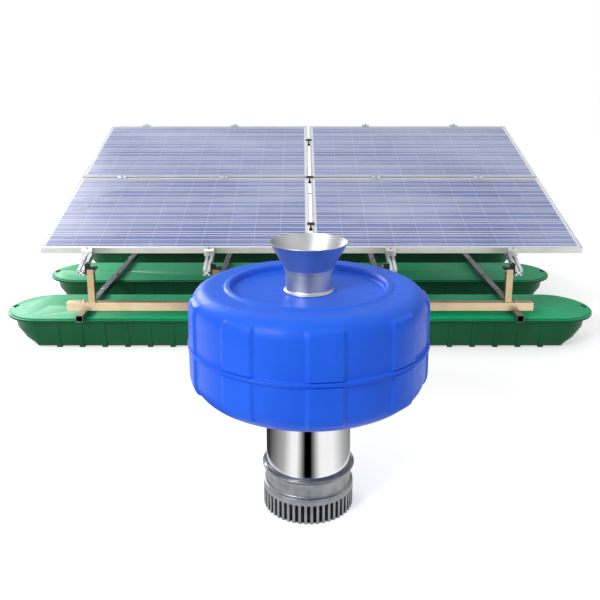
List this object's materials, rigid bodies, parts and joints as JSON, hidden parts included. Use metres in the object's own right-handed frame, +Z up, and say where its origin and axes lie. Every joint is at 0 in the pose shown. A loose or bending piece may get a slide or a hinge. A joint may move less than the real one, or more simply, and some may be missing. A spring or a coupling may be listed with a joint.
{
  "type": "solar fountain aerator",
  "caption": "Floating fountain pump with a flared nozzle, round float and slotted inlet, with a pontoon raft that carries tilted solar panels to power it.",
  "frame": {"origin": "on the floor, at the centre of the whole set's footprint", "axes": "+Z up, +X across the raft to the right as seen from the fountain, +Y from the fountain to the raft"},
  "size_m": [3.61, 4.2114, 1.1949],
  "materials": {
    "pontoon_polyethylene": "moulded polyethylene, satin",
    "frame_stainless": "rolled square tube",
    "rail_aluminium": "anodised extrusion",
    "clamp_aluminium": "cut extrusion",
    "dark_bracket": "dark anodised",
    "panel_glass": "blue polycrystalline cells under tempered glass",
    "cable_black": "matt cable jacket",
    "black_plastic": "moulded housing",
    "bolt_stainless": "bolt heads",
    "box_paint": "powder coat, fine texture",
    "seal_rubber": "foam seal",
    "controller_case": "dark anodised casting",
    "knob_red": "moulded knob",
    "latch_chrome": "plated",
    "float_polyethylene": "moulded blue polyethylene, smooth",
    "barrel_polished": "polished stainless tube",
    "cast_stainless": "pickled casting",
    "sheet_stainless": "rolled sheet",
    "motor_iron": "laminated core"
  },
  "bodies": {
    "fountain": {"float_upper_shell": "float_polyethylene", "float_lower_shell": "float_polyethylene", "pump_barrel": "barrel_polished", "inlet_collar": "cast_stainless", "strainer": "cast_stainless", "discharge_head": "sheet_stainless", "head_bolts": "bolt_stainless", "nozzle_neck": "sheet_stainless", "nozzle_funnel": "sheet_stainless", "pump_gland": "black_plastic", "guide_vane_housing": "cast_stainless", "motor_shell": "sheet_stainless", "stator": "motor_iron", "bearings_and_seal": "latch_chrome"},
    "rotor": {"pump_shaft": "bolt_stainless", "impeller": "cast_stainless", "motor_rotor": "motor_iron"},
    "raft": {"pontoon_front_left": "pontoon_polyethylene", "pontoon_front_right": "pontoon_polyethylene", "pontoon_middle_left": "pontoon_polyethylene", "pontoon_middle_right": "pontoon_polyethylene", "pontoon_rear_left": "pontoon_polyethylene", "pontoon_rear_right": "pontoon_polyethylene", "runner_tube_outer_left": "frame_stainless", "runner_tube_inner_left": "frame_stainless", "runner_tube_inner_right": "frame_stainless", "runner_tube_outer_right": "frame_stainless", "cross_tube_front": "frame_stainless", "cross_tube_rear": "frame_stainless", "front_posts": "frame_stainless", "rear_posts": "frame_stainless", "control_box_bracket": "frame_stainless", "panel_rail_outer_left": "rail_aluminium", "panel_rail_inner_left": "rail_aluminium", "panel_rail_inner_right": "rail_aluminium", "panel_rail_outer_right": "rail_aluminium", "panel_frame_front_left": "rail_aluminium", "panel_laminate_front_left": "panel_glass", "panel_frame_front_right": "rail_aluminium", "panel_laminate_front_right": "panel_glass", "panel_frame_rear_left": "rail_aluminium", "panel_laminate_rear_left": "panel_glass", "panel_frame_rear_right": "rail_aluminium", "panel_laminate_rear_right": "panel_glass", "junction_boxes": "black_plastic", "panel_leads": "cable_black", "end_clamps": "clamp_aluminium", "mid_clamps": "clamp_aluminium", "clamp_bolts": "bolt_stainless", "joining_clips": "dark_bracket", "rail_feet": "dark_bracket", "frame_bolts": "bolt_stainless", "pontoon_bolts": "bolt_stainless", "control_box": "box_paint", "door_gasket": "seal_rubber", "pump_controller": "controller_case", "box_glands": "black_plastic"},
    "door": {"box_door": "box_paint"},
    "latch": {"door_latch": "latch_chrome"},
    "isolator": {"isolator_knob": "knob_red"}
  },
  "joints": [
    {"name": "pump_spin", "type": "hinge", "parent": "fountain", "child": "rotor", "pos_m": [0.032, -1.66074, 0.3], "axis": [0, 0, 1], "continuous": true},
    {"name": "raft_float", "type": "slide", "parent": "fountain", "child": "raft", "axis": [0, 0, 1], "range_m": [0, 0.5]},
    {"name": "box_door_hinge", "type": "hinge", "parent": "raft", "child": "door", "pos_m": [0.6927, 2.02325, 0.56], "axis": [0, 0, 1], "range_deg": [0, 110]},
    {"name": "door_latch_turn", "type": "hinge", "parent": "door", "child": "latch", "pos_m": [1.064, 2.03925, 0.56], "axis": [0, 1, 0], "range_deg": [0, 90]},
    {"name": "isolator_turn", "type": "hinge", "parent": "raft", "child": "isolator", "pos_m": [1.1, 1.92925, 0.58], "axis": [1, 0, 0], "range_deg": [0, 90]}
  ]
}
